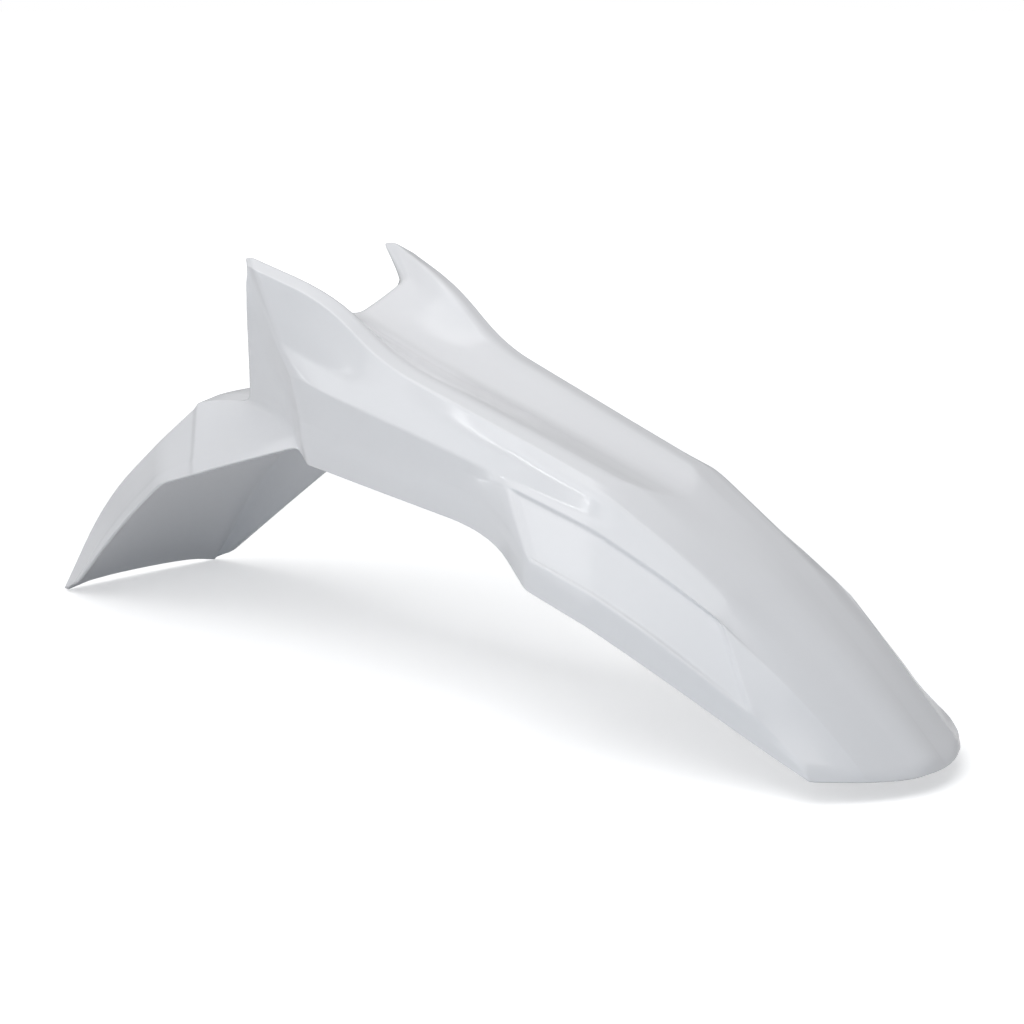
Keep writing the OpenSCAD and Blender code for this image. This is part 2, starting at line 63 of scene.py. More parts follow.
# Sizes of the mudguard in millimetres, with the values of the CAD source
nose_reach = 401
nose_half = 75
nose_sweep = 37
nose_drop = 73
lip_h = 6.5
rim_nose_half = 22
flare_half = 98
flare_x = 205
flare_edge_z = -45
strip_h = 21
strip_lean = 2.5
blade_fall = 0.19
nose_crown = 3
panel_depth = 2.2
panel_front_x = 298
panel_rear_gap = 8
panel_top_gap = 7
panel_front_gap = 1
panel_slope = 3.2
step_top_x = 73
step_out_x = 129
step_half = 96
step_foot_x = 72
fork_half = 67
wall_lean = 2
crease_front_z = 8
crease_rear_z = -8
wall_front_z = -37
wall_rear_z = -62
rim_front_half = 48.5
rim_rear_half = 60.5
rim_front_z = 24
rim_rear_z = 32
kink_x = 144
climb_x = -66
rim_strip_w = 13.5
rim_strip_rise = 2
valley_z = 22
valley_end = 26
valley_end_z = 20
shoulder_front_half = 57.5
shoulder_front_z = 21
shoulder_rear_half = 64.4
shoulder_rear_z = 15
horn_x = -206
horn_half = 72
horn_z = 62
horn_base_x = -124
horn_base_half = 64
horn_base_z = 55
arc_x = -161
arc_z = 28
edge_roll = 3
horn_foot_x = -144
wall_end_x = -112
wall_foot_x = -176
wall_foot_z = -42
wall_foot_half = 50.5
flap_start_x = -204
flap_start_z = -51
band_x = -244
band_z = -68
band_h = 4
bend_x = -269
bend_z = -104
bend_half = 74
flap_edge_half = 96
flap_side = 34
flap_end_x = -360
flap_end_z = -267
flap_end_half = 76
flap_end_side = 20
flap_bow = 11
flap_crown = 6
wall = 2.8
rim_r = 1.6
crease_r = 2
soft_r = 4.5
boss_pitch_x = 60
boss_pitch_y = 34
boss_r = 7.5
boss_flare = 1.5
bore_r = 3
bore_depth = 10

# Sizes that only the scene has: the side crease's reach over the fork walls, where the nose creases melt,
# the rounding of the shell's edge, and the bosses' ends inside each other and under the valley
crease_out = 9
melt_start = 90
melt_len = 100
edge_round = 0.9
stem_over_bore = 3
root_over_bore = 1
root_inset = 0.1
valley_flat = 2

# The net has this many lines on each side, from the middle line to the lower edge
LINES = 13
# Rows of the net that other steps name, counted from the nose
CROWN, HORN, FIN = 15, 16, 17


def lerp(a, b, t):
    return a + (b - a) * t


def clamp01(t):
    return max(0.0, min(1.0, t))


def P(x, y, z):
    return np.array((x, y, z), float)


def unit(v):
    return v / np.maximum(np.linalg.norm(v, axis=-1, keepdims=True), 1e-9)


# Blade ahead of the kink
flare_len = nose_reach - nose_sweep - flare_x
blade_len = nose_reach - kink_x


def rim_z(x):
    """Height of the rims' outer line."""
    d = max(0, x - kink_x)
    return rim_front_z - blade_fall * d \
        - (rim_front_z - blade_fall * blade_len + nose_drop - lip_h) * (d / blade_len) ** 2


def rim_half(x):
    """Half spacing of the rims' outer lines."""
    return lerp(rim_front_half, rim_nose_half, clamp01((x - kink_x) / blade_len))


def edge_half(x):
    """Half spacing of the blade's lower edges, widest at the flares."""
    return flare_half \
        - (flare_half - nose_half) * math.sin(math.pi / 2 * clamp01((x - flare_x) / flare_len)) ** 2 \
        - (flare_half - step_half) * clamp01((flare_x - x) / (flare_x - step_out_x)) ** 2


def edge_z(x):
    """Height of the blade's lower edge, falling to the nose."""
    u = clamp01((x - flare_x + 6) / (flare_len + 6))
    return flare_edge_z - (nose_drop + flare_edge_z) * lerp(u, u * u * (3 - 2 * u), 0.8)


def strip_z(x):
    """Height of the strip between a side panel and the lower edge."""
    return lip_h + (strip_h - lip_h) * (1 - clamp01((x - flare_x) / flare_len) ** 2.2)


def strip_in(x):
    """How far the strip leans in at its top."""
    return strip_lean + 0.5 * clamp01((x - flare_x) / flare_len)


def crease_half(x):
    """Half spacing of the blade's side creases."""
    return lerp(fork_half - 1, 0.63 * nose_half, clamp01((x - kink_x - 40) / (blade_len - 70)) ** 1.3)


def crease_fall(x):
    """How far the side crease lies under the rim."""
    return lerp(rim_front_z - crease_front_z, 0.5, clamp01((x - kink_x) / blade_len) ** 0.9)


def half_row(c, t, a, b, cr, p, e, rise=(0.42, 0.84), along=(0.5, 0.9), recess=0, gap=panel_top_gap):
    """Half a section from its main lines, the middle line first.

    c is the middle, t the inner and a the outer line of the rim, b the shoulder, cr the side crease,
    p the panel's lower line and e the lower edge. rise and along place the two lines between c and t,
    as shares of the way up and of the way along. recess is the share of the panel's depth that is cut here.
    """
    side = p - cr
    out = unit(P(0, -side[2], side[1]))
    length = np.linalg.norm(side)
    g = min(gap, 0.3 * length) / length
    h = min(panel_slope, 0.12 * length) / length
    sunk = out * panel_depth * recess
    return [c,
            P(lerp(c[0], t[0], along[0]), 0.45 * t[1], lerp(c[2], t[2], rise[0])),
            P(lerp(c[0], t[0], along[1]), 0.8 * t[1], lerp(c[2], t[2], rise[1])),
            t, a, b, cr,
            cr + side * g,
            cr + side * (g + h) - sunk,
            p - side * h - sunk,
            p,
            lerp(p, e, 0.42) + P(0, 0.8, 0),
            e]


def blade_row(x, lean, recess, gap):
    """Section of the blade, swept back at the sides and with its lower edge further forward by lean."""
    s = nose_sweep * clamp01((x - kink_x) / blade_len) ** 2.2 / nose_half ** 2
    xa = x - s * rim_half(x) ** 2
    xc = x - s * crease_half(x) ** 2 + 0.12 * lean
    xe = x - s * nose_half ** 2 + lean
    a = P(xa, rim_half(x), rim_z(x))
    cr = P(xc, crease_half(x), rim_z(x) - crease_fall(x))
    e = P(xe, edge_half(xe), edge_z(xe))
    p = P(xe - 3, edge_half(xe) - strip_in(xe), edge_z(xe) + strip_z(xe))
    # Ahead of the kink the rims' strips and the valley between them run out
    near = clamp01((x - kink_x) / 110)
    t = a + P(0, -rim_strip_w * lerp(1, 0.6, near), rim_strip_rise * (1 - near) + 0.6 * near)
    # Towards the nose the creases melt into one crown
    melt = clamp01((x - kink_x - melt_start) / melt_len)
    t = lerp(t, P(t[0], 0.64 * a[1], a[2] + 0.59 * nose_crown), melt)
    cx = x + valley_end * (1 - clamp01((x - kink_x) / 80))
    c = P(cx, 0, rim_z(cx) + nose_crown * (0.4 + 0.6 * near) if x > kink_x else valley_end_z)
    # The shoulder starts where the fork walls have it, and moves up towards the rim
    fade = clamp01((x - kink_x) / (panel_front_x - kink_x))
    b_out = (shoulder_front_half - rim_front_half) / (crease_half(kink_x) - rim_front_half)
    b_down = (rim_front_z - shoulder_front_z) / (rim_front_z - crease_front_z)
    b = P(lerp(xa, xc, 0.4),
          lerp(a[1], cr[1], lerp(b_out, 0.16 + 0.3 * melt, fade)),
          lerp(a[2], cr[2], lerp(b_down, 0.1 + 0.25 * melt, fade)))
    return half_row(c, t, a, b, cr, p, e, (0.3, 0.75), (0.2, 0.6), recess, gap)


def bulged(row):
    """Bows the front of the panel forward between its corners."""
    for i, by in ((7, 2), (8, 5), (9, 3)):
        row[i] = row[i] + P(by, 0, 0)
    return row


def lip_row():
    """The row round the very edge of the nose, where its lip rolls down."""
    row = []
    for q in blade_row(nose_reach - 2, 0, 0, panel_front_gap):
        y = min(q[1], nose_half)
        w = (y / nose_half) ** 2
        row.append(P(nose_reach - nose_sweep * w, y, -nose_drop + 2 * nose_crown * (1 - w)))
    return row


def rim_at(x):
    """Rim's outer line beside the deck."""
    f = (x - climb_x) / (kink_x - climb_x)
    return P(x, lerp(rim_rear_half, rim_front_half, f), lerp(rim_rear_z, rim_front_z, f))


def crease_z(x):
    """Height of the side crease over the fork walls."""
    return lerp(crease_rear_z, crease_front_z, (x - horn_foot_x) / (kink_x - horn_foot_x))


def proud(x, share=1):
    """How far the side crease stands out over the fork walls, more towards the horns."""
    along = clamp01((step_top_x - x) / (step_top_x - horn_foot_x)) ** 0.8
    return share * crease_out * along * P(0.9, 1, 0.54)


def shoulder_at(x):
    """Shoulder of the deck, between the rim and the side crease."""
    f = (x - climb_x) / (kink_x - climb_x)
    return P(x, lerp(shoulder_rear_half, shoulder_front_half, f),
             lerp(shoulder_rear_z, shoulder_front_z, f))


def fork_row(x, px, ex):
    """Section between the fork legs, with its wall's middle at px and its lower edge at ex."""
    a = rim_at(x)
    t = a + P(0, -rim_strip_w, rim_strip_rise)
    w = (ex - wall_end_x) / (step_foot_x - wall_end_x)
    cr = P(x, fork_half, crease_z(x)) + proud(x)
    e = P(ex, fork_half + wall_lean, lerp(wall_rear_z, wall_front_z, w))
    p = P(px, fork_half + wall_lean * 0.5, lerp(crease_z(x), e[2], 0.5)) + proud(x, 0.5)
    b = shoulder_at(x) + proud(x, 0.4)
    return half_row(P(x, 0, valley_z), t, a, b, cr, p, e)


def crest_row(gap, recess):
    """Crest of the step where the blade flares out."""
    x = step_top_x + gap
    a = rim_at(x)
    t = a + P(0, -rim_strip_w, rim_strip_rise)
    cr = P(x, fork_half, crease_z(x))
    xe = step_out_x + 5 + gap
    e = P(xe, edge_half(xe), edge_z(xe))
    p = P(xe - 5, e[1] - strip_lean * 0.7, e[2] + strip_h)
    return half_row(P(x, 0, valley_z), t, a, shoulder_at(x), cr, p, e, recess=recess)


def climb_row():
    """Where each rim levels out into its horn."""
    a = P(horn_base_x, horn_base_half, horn_base_z)
    t = a + P(-2, -rim_strip_w, rim_strip_rise + 2)
    cr = P(horn_foot_x + 40, fork_half, lerp(crease_rear_z, crease_front_z, 0.13))
    e = P(wall_end_x + 22, fork_half + wall_lean, lerp(wall_rear_z, wall_front_z, 0.13))
    p = P((cr[0] + e[0]) / 2, fork_half + wall_lean * 0.5, lerp(cr[2], e[2], 0.5)) + proud(cr[0], 0.5)
    b = P(horn_base_x + 10, fork_half - 2.5, horn_base_z - 46) + proud(cr[0], 0.5)
    cr = cr + proud(cr[0])
    c = P(horn_base_x + 12, 0, lerp(valley_z, arc_z, 0.5))
    return half_row(c, t, a, b, cr, p, e, (0.2, 0.6), (0.4, 0.9))


def horn_row():
    """Rear crease of the horns and the edge of the deck between them."""
    a = P(horn_x + 6, horn_half + 1.5, horn_z - 5)
    t = P(horn_x - 6.5, horn_half - 5.5, horn_z - 3)
    cr = P(horn_foot_x, fork_half - 1, crease_rear_z)
    e = P(wall_end_x, fork_half + wall_lean, wall_rear_z)
    p = P(lerp(cr[0], e[0], 0.5), fork_half - 0.5, lerp(cr[2], e[2], 0.5)) + proud(cr[0], 0.5)
    b = P(lerp(cr[0], a[0], 0.36), fork_half + 0.5, lerp(cr[2], a[2], 0.3)) + proud(cr[0], 0.72)
    cr = cr + proud(cr[0])
    c = P(arc_x, 0, arc_z - edge_roll)
    row = half_row(c, t, a, b, cr, p, e)
    row[1] = P(arc_x - 6, 0.41 * horn_half, lerp(arc_z, horn_z, 0.265) - edge_roll)
    row[2] = P(arc_x - 5.5, 0.68 * horn_half, lerp(arc_z, horn_z, 0.63) - edge_roll)
    return row


def crown_row():
    """Top of the rolled rear edge, just ahead of it."""
    row = [q + (P(5, 0, edge_roll) if i < 3 else P(6, 0, 1)) for i, q in enumerate(horn_row())]
    row[4] = P(horn_x + 17, horn_half + 4, horn_z - 4)
    row[3] = P(horn_x + 2, horn_half - 4, horn_z + 0.5)
    return row


def fin_row():
    """Upper part of the rear wall, where each horn's rear edge stands proud."""
    a = P(horn_x + 10, horn_half + 4, horn_z - 23)
    t = P(horn_x + 28, horn_half - 11, horn_z - 20)
    cr = P(horn_foot_x - 7, fork_half - 3.5, crease_rear_z - 14)
    e = P(wall_end_x - 9, fork_half, wall_rear_z + 4)
    p = P(lerp(cr[0], e[0], 0.5), fork_half - 3, lerp(cr[2], e[2], 0.5))
    b = P(lerp(cr[0], a[0], 0.55), fork_half - 1.5, lerp(cr[2], a[2], 0.34))
    c = P(arc_x - 5, 0, arc_z - 18)
    row = half_row(c, t, a, b, cr, p, e)
    row[1] = P(arc_x - 8, 0.41 * horn_half, lerp(arc_z, horn_z, 0.265) - 18)
    row[2] = P(arc_x - 6, 0.69 * horn_half, lerp(arc_z, horn_z, 0.63) - 17)
    return row


def foot_row():
    """Foot of the rear wall, where the flap begins."""
    a = P(flap_start_x, wall_foot_half, flap_start_z)
    e = P(wall_end_x - 17, fork_half, wall_rear_z + 7)
    cr = P(lerp(a[0], e[0], 0.66), wall_foot_half + 9, flap_start_z + 9)
    p = P(lerp(a[0], e[0], 0.87), wall_foot_half + 11.5, flap_start_z + 5)
    b = P(lerp(a[0], e[0], 0.3), wall_foot_half + 4.5, flap_start_z + 6)
    t = P(lerp(flap_start_x, wall_foot_x, 0.22), wall_foot_half * 0.84, lerp(flap_start_z, wall_foot_z, 0.35))
    c = P(wall_foot_x, 0, wall_foot_z)
    return half_row(c, t, a, b, cr, p, e, (0.1, 0.5), (0.15, 0.6))


def flap_row(a, e, lift):
    """Flap section from its shoulder and its lower edge, with extra height over the shoulders."""
    c = P(a[0] - 0.3 * flap_crown, 0, a[2] + 0.9 * flap_crown)
    t = lerp(a, c, 0.14) + P(0, 0, 0.2 * flap_crown)
    t[1] = 0.86 * a[1]
    b, cr, p = (lerp(a, e, share) for share in (0.16, 0.34, 0.7))
    row = half_row(c, t, a, b, cr, p, e, (0.1, 0.4), (0.1, 0.5))
    return [q + P(-0.75, 0, 0.66) * lift * (1 if i < 4 else clamp01((LINES - 1 - i) / 8))
            + P(0, 0.4 * lift if 3 < i < LINES - 1 else 0, 0) for i, q in enumerate(row)]


def flap_at(f):
    """Flap's shoulder, at a share of the way from its bend to its end."""
    return P(lerp(bend_x, flap_end_x, f) - 3.5 * flap_bow * f * (1 - f),
             lerp(bend_half, flap_end_half, f) + 16 * f * (1 - f),
             lerp(bend_z, flap_end_z, f) + 2 * flap_bow * f * (1 - f))


def flap_edge_at(f):
    """Flap's lower edge, at the same share of the way."""
    return P(lerp(bend_x, flap_end_x, f) + lerp(0.93 * flap_side, flap_end_side, f),
             lerp(flap_edge_half, flap_end_half + 3, f) + 14 * f * (1 - f),
             lerp(bend_z - 0.56 * flap_side, flap_end_z + 0.75 * flap_end_side, f) + flap_bow * f * (1 - f))


# Reach of a rounding that takes all the room between its neighbours
LONG = 200


def half_net():
    """The rows of one half from the nose to the flap's end, each with the reach of its rounding."""
    flap_low = bend_z - 0.56 * flap_side
    band_a = P(band_x, lerp(wall_foot_half, bend_half, 0.5), band_z)
    band_e = P(band_x + 38, flap_edge_half - 4.5, lerp(wall_rear_z, flap_low, 0.68))
    mid_a = P(lerp(flap_start_x, band_x, 0.6), lerp(wall_foot_half, band_a[1], 0.5),
              lerp(flap_start_z, band_z, 0.45))
    mid_e = P(band_x + 60, flap_edge_half - 11, lerp(wall_rear_z, flap_low, 0.44))
    return [
        (lip_row(), LONG),
        (blade_row(nose_reach - 4, 0, 0, panel_front_gap), 5),
        (blade_row(nose_reach - 45, 9, 0, panel_front_gap), LONG),
        (blade_row(nose_reach - 86, 32, 0, panel_front_gap), LONG),
        (bulged(blade_row(panel_front_x - 41, 66, 0, panel_front_gap)), 3),
        (bulged(blade_row(panel_front_x - 46, 63, 1, panel_front_gap)), 3),
        (blade_row(lerp(kink_x, panel_front_x, 0.45), 32, 1, panel_front_gap), LONG),
        (blade_row(kink_x + 12, 35, 1, lerp(panel_top_gap, panel_front_gap, 0.2)), 5),
        (blade_row(kink_x, 36, 1, panel_top_gap), 5),
        (crest_row(panel_rear_gap, 1), 3),
        (crest_row(0, 0), 4),
        (fork_row(step_top_x - 24, step_foot_x - 8, step_foot_x), LONG),
        (fork_row(-10, -10, -10), LONG),
        (fork_row(climb_x, climb_x, climb_x), LONG),
        (climb_row(), LONG),
        (crown_row(), 3),
        (horn_row(), 2.5),
        (fin_row(), 14),
        (foot_row(), 8),
        (flap_row(mid_a, mid_e, 0.1 * band_h), LONG),
        (flap_row(band_a, band_e, 0.5 * band_h), 1.5),
        (flap_row(band_a + P(-5, 1, -5), band_e + P(-5, -0.4, -3), 0), 1.5),
        (flap_row(flap_at(0), flap_edge_at(0), 0), 10),
        (flap_row(flap_at(0.45), flap_edge_at(0.45), 0), LONG),
        (flap_row(flap_at(1), flap_edge_at(1), 0), LONG)]


def full_net(rows):
    """The net over both sides, from the left lower edge to the right one."""
    half = np.array(rows)
    mirrored = half * (1, -1, 1)
    return np.concatenate([half[:, ::-1], mirrored[:, 1:]], axis=1)


def inner_of(net):
    """Every control point moved in by the wall, square to its faces."""
    a, b, c, d = net[:-1, :-1], net[1:, :-1], net[1:, 1:], net[:-1, 1:]
    face = unit(np.cross(c - a, d - b))
    total, count = np.zeros_like(net), np.zeros(net.shape[:2])
    blocks = [(slice(0, -1), slice(0, -1)), (slice(1, None), slice(0, -1)),
              (slice(0, -1), slice(1, None)), (slice(1, None), slice(1, None))]
    for blk in blocks:
        total[blk] += face
        count[blk] += 1
    m = unit(total)
    dots = np.zeros(net.shape[:2])
    for blk in blocks:
        dots[blk] += (face * m[blk]).sum(-1)
    inner = net - wall * m / np.maximum(dots / count, 0.3)[..., None]
    # Further set-in where the faces of a horn meet at its tip and its rear edge
    for i, line, by in ((CROWN, 3, (10, -2, -4)), (CROWN, 4, (1, 0, -3)), (HORN, 3, (12, -4, -7)),
                        (HORN, 4, (5, 0, -7)), (FIN, 4, (9, -3.5, -4))):
        inner[i, LINES - 1 - line] += by
        inner[i, LINES - 1 + line] += np.array(by) * (1, -1, 1)
    return inner


def rounded(p, reach, samples, cap):
    """Each inner control point becomes a short parabola, with straight stretches between them.

    Gives the points, which of them to keep, and the place of each along the net.
    """
    out, place = [p[:1]], [0.0]
    straight = (0.08, 0.36, 0.64, 0.92)
    for k in range(1, len(p) - 1):
        u, v = p[k - 1] - p[k], p[k + 1] - p[k]
        limit = cap[k]
        a = u * np.minimum(limit, reach[k] / np.maximum(np.linalg.norm(u, axis=-1, keepdims=True), 1e-6))
        b = v * np.minimum(limit, reach[k] / np.maximum(np.linalg.norm(v, axis=-1, keepdims=True), 1e-6))
        steps = np.linspace(0, 1, samples[k])
        arc = np.array([p[k] + a * (1 - t) ** 2 + b * t ** 2 for t in steps])
        start = out[-1][-1:]
        out += [start * (1 - s) + arc[:1] * s for s in straight]
        out.append(arc)
        place += [k - 0.5] * len(straight) + list(k - 0.5 + steps)
    start = out[-1][-1:]
    out += [start * (1 - s) + p[-1:] * s for s in straight]
    out.append(p[-1:])
    place += [len(p) - 1.5 + 0.5 * s for s in straight] + [len(p) - 1.0]
    q = np.concatenate(out)
    # Points that crowd their neighbour, or the rounded edge at either end, are left out
    least_apart, least_from_end = 0.3, 1.3
    keep = [0]
    for i in range(1, len(q) - 1):
        ends = [np.linalg.norm(q[i] - q[e], axis=-1).min() for e in (0, -1)]
        apart = np.linalg.norm(q[i] - q[keep[-1]], axis=-1).max()
        if apart > least_apart and min(ends) > least_from_end:
            keep.append(i)
    keep.append(len(q) - 1)
    return q, keep, np.array(place)


# Reach of the rounding along each line, from the middle line to the lower edge
LINE_REACH = [30, 30, 12, soft_r * 1.8, rim_r, soft_r, crease_r, 1, 1.2, 1.5, crease_r, 4, 0]


def skins():
    """Outer and inner skin as grids of points, finely sampled."""
    rows, row_reach = zip(*half_net())
    net = full_net(rows)
    cols = net.shape[1]
    row_n = [5 if r < 9 else 8 for r in row_reach]
    col_reach = [LINE_REACH[abs(j - LINES + 1)] for j in range(cols)]
    col_n = [4 if r < 2 else 5 if r < 5 else 7 for r in col_reach]
    made, keep_u, keep_v = [], None, None
    for grid in (net, inner_of(net)):
        q, keep, place = rounded(grid, row_reach, row_n, [0.5 if r == LONG else 0.4 for r in row_reach])
        keep_u = keep_u or keep
        q = q[keep_u].swapaxes(0, 1)
        # Creases grow soft towards the nose, are crisp on the horns and rounder down the rear edge
        along = place[keep_u]
        at_nose = np.clip((4.5 - along) / 3, 0, 1)
        at_horns = np.clip(2 - abs(along - CROWN), 0, 1)
        at_rear = np.clip(2 - 2 * abs(along - FIN - 0.5), 0, 1)
        softer = 1 + 9 * at_nose - 0.45 * at_horns + 1.5 * at_rear
        cap = 0.4 + 0.09 * at_nose[:, None]
        q, keep, place = rounded(q, [r * softer[:, None] for r in col_reach], col_n, [cap] * cols)
        keep_v = keep_v or keep
        made.append(q[keep_v].swapaxes(0, 1))
    return made


def shell_mesh():
    """The closed shell: two skins, joined by a rounded edge all round."""
    outer, inner = skins()
    nu, nv = outer.shape[:2]
    border = [(0, j) for j in range(nv)] + [(i, nv - 1) for i in range(1, nu)] \
        + [(nu - 1, j) for j in range(nv - 2, -1, -1)] + [(i, 0) for i in range(nu - 2, 0, -1)]
    inward = np.zeros((len(border), 3))
    for n, (i, j) in enumerate(border):
        for di, dj, on in ((1, 0, i == 0), (-1, 0, i == nu - 1), (0, 1, j == 0), (0, -1, j == nv - 1)):
            if on:
                inward[n] += unit(outer[i + di, j + dj] - outer[i, j])
    inward = unit(inward)
    rings = []
    bi, bj = np.array(border).T
    rim_out, rim_in = outer[bi, bj].copy(), inner[bi, bj].copy()
    outer[bi, bj] += inward * edge_round
    inner[bi, bj] += inward * edge_round
    # Rings round the edge, from the outer skin to the inner one
    for t in (0.12, 0.25, 0.4, 0.6, 0.75, 0.88):
        a = math.pi * t
        bulge = math.sin(a) ** 0.6
        across = 0.5 - 0.5 * math.copysign(abs(math.cos(a)) ** 0.6, math.cos(a))
        rings.append(lerp(rim_out, rim_in, across) + inward * edge_round * (1 - bulge))
    pts = np.concatenate([outer.reshape(-1, 3), inner.reshape(-1, 3)] + rings) * MM
    n_skin, n_ring = nu * nv, len(border)

    def sheet(first, turned):
        """Faces of one skin, whose points start at first."""
        quads = []
        for i in range(nu - 1):
            for j in range(nv - 1):
                a = first + i * nv + j
                quad = (a, a + 1, a + nv + 1, a + nv)
                quads.append(quad[:1] + quad[:0:-1] if turned else quad)
        return quads

    faces = sheet(0, False)
    n_out = len(faces)
    faces += sheet(n_skin, True)
    n_in = len(faces)
    ring_ids = [[i * nv + j for i, j in border]]
    ring_ids += [[2 * n_skin + r * n_ring + n for n in range(n_ring)] for r in range(len(rings))]
    ring_ids += [[n_skin + i * nv + j for i, j in border]]
    for lo, hi in zip(ring_ids[:-1], ring_ids[1:]):
        for n in range(n_ring):
            m = (n + 1) % n_ring
            faces.append((lo[m], lo[n], hi[n], hi[m]))
    mesh = bpy.data.meshes.new("front_mudguard_shell")
    mesh.from_pydata([tuple(q) for q in pts], [], faces)
    mesh.polygons.foreach_set("use_smooth", [True] * len(faces))
    under = mesh.attributes.new("underside", "BOOLEAN", "FACE")
    under.data.foreach_set("value", [n_out <= k < n_in for k in range(len(faces))])
    mesh.validate()
    mesh.update()
    return mesh


# Shader groups and materials
def new_group(name, inputs, outputs):
    tree = bpy.data.node_groups.new(name, "ShaderNodeTree")
    for label, kind, value in inputs:
        s = tree.interface.new_socket(name=label, in_out="INPUT", socket_type=kind)
        if value is not None:
            s.default_value = value
    for label, kind in outputs:
        tree.interface.new_socket(name=label, in_out="OUTPUT", socket_type=kind)
    return tree, tree.nodes.new("NodeGroupInput"), tree.nodes.new("NodeGroupOutput")


def moulded_surface_group():
    """Slight mottling, gloss changes and orange peel of a moulded plastic skin."""
    tree, gi, go = new_group("moulded surface", [
        ("Colour", "NodeSocketColor", (0.8, 0.8, 0.8, 1)), ("Mottle", "NodeSocketFloat", 0.02),
        ("Gloss low", "NodeSocketFloat", 0.2), ("Gloss high", "NodeSocketFloat", 0.3),
        ("Peel height", "NodeSocketFloat", 0.05), ("Peel scale", "NodeSocketFloat", 420.0)],
        [("Colour", "NodeSocketColor"), ("Roughness", "NodeSocketFloat"), ("Normal", "NodeSocketVector")])
    n, l = tree.nodes, tree.links
    place = n.new("ShaderNodeTexCoord")

    def noise(scale, detail):
        t = n.new("ShaderNodeTexNoise")
        t.inputs["Scale"].default_value, t.inputs["Detail"].default_value = scale, detail
        l.new(place.outputs["Object"], t.inputs["Vector"])
        return t

    broad, fine = noise(9.0, 3.0), noise(160.0, 2.0)
    both = n.new("ShaderNodeMath")
    both.operation = "MULTIPLY_ADD"
    both.inputs[1].default_value = 0.6
    half = n.new("ShaderNodeMath")
    half.operation = "MULTIPLY"
    half.inputs[1].default_value = 0.4
    l.new(fine.outputs["Fac"], half.inputs[0])
    l.new(broad.outputs["Fac"], both.inputs[0])
    l.new(half.outputs[0], both.inputs[2])
    centred = n.new("ShaderNodeMath")
    centred.operation = "SUBTRACT"
    centred.inputs[1].default_value = 0.5
    l.new(both.outputs[0], centred.inputs[0])
    amount = n.new("ShaderNodeMath")
    amount.operation = "MULTIPLY_ADD"
    amount.inputs[2].default_value = 1.0
    l.new(centred.outputs[0], amount.inputs[0])
    l.new(gi.outputs["Mottle"], amount.inputs[1])
    scaled = n.new("ShaderNodeVectorMath")
    scaled.operation = "SCALE"
    l.new(gi.outputs["Colour"], scaled.inputs[0])
    l.new(amount.outputs[0], scaled.inputs["Scale"])
    l.new(scaled.outputs[0], go.inputs["Colour"])
    gloss = n.new("ShaderNodeMapRange")
    gloss.inputs["From Min"].default_value, gloss.inputs["From Max"].default_value = 0.3, 0.7
    l.new(both.outputs[0], gloss.inputs["Value"])
    l.new(gi.outputs["Gloss low"], gloss.inputs["To Min"])
    l.new(gi.outputs["Gloss high"], gloss.inputs["To Max"])
    l.new(gloss.outputs[0], go.inputs["Roughness"])
    peel = n.new("ShaderNodeTexNoise")
    peel.inputs["Detail"].default_value = 1.0
    l.new(place.outputs["Object"], peel.inputs["Vector"])
    l.new(gi.outputs["Peel scale"], peel.inputs["Scale"])
    bump = n.new("ShaderNodeBump")
    bump.inputs["Distance"].default_value = 0.0004
    l.new(gi.outputs["Peel height"], bump.inputs["Strength"])
    l.new(peel.outputs["Fac"], bump.inputs["Height"])
    l.new(bump.outputs[0], go.inputs["Normal"])
    return tree


SURFACE = moulded_surface_group()


def plastic(name, colour, gloss_low, gloss_high, mottle, peel, peel_scale):
    m = bpy.data.materials.new(name)
    m.use_nodes = True
    n, l = m.node_tree.nodes, m.node_tree.links
    bsdf = n["Principled BSDF"]
    g = n.new("ShaderNodeGroup")
    g.node_tree = SURFACE
    for label, value in (("Colour", (*colour, 1)), ("Mottle", mottle), ("Gloss low", gloss_low),
                         ("Gloss high", gloss_high), ("Peel height", peel), ("Peel scale", peel_scale)):
        g.inputs[label].default_value = value
    l.new(g.outputs["Colour"], bsdf.inputs["Base Color"])
    l.new(g.outputs["Roughness"], bsdf.inputs["Roughness"])
    l.new(g.outputs["Normal"], bsdf.inputs["Normal"])
    bsdf.inputs["IOR"].default_value = 1.5
    return m


white_gloss = plastic("white gloss plastic", (0.80, 0.80, 0.815), 0.12, 0.17, 0.03, 0.03, 420)
# The underside is the same plastic as the outer skin, but its colour is painted lighter (0.85 against 0.80).
# This is painted fill light for the bounce light it lacks underneath. Its rougher gloss and coarser peel are
# its own.
underside_painted_lighter = plastic("white plastic underside, painted lighter", (0.85, 0.85, 0.865), 0.34, 0.48, 0.05, 0.12, 900)


def deck_slope(x):
    """Rise of the deck for each millimetre across, from its valley to the rim."""
    t = rim_at(x) + P(0, -rim_strip_w, rim_strip_rise)
    return 0.94 * (t[2] - valley_z) / t[1]


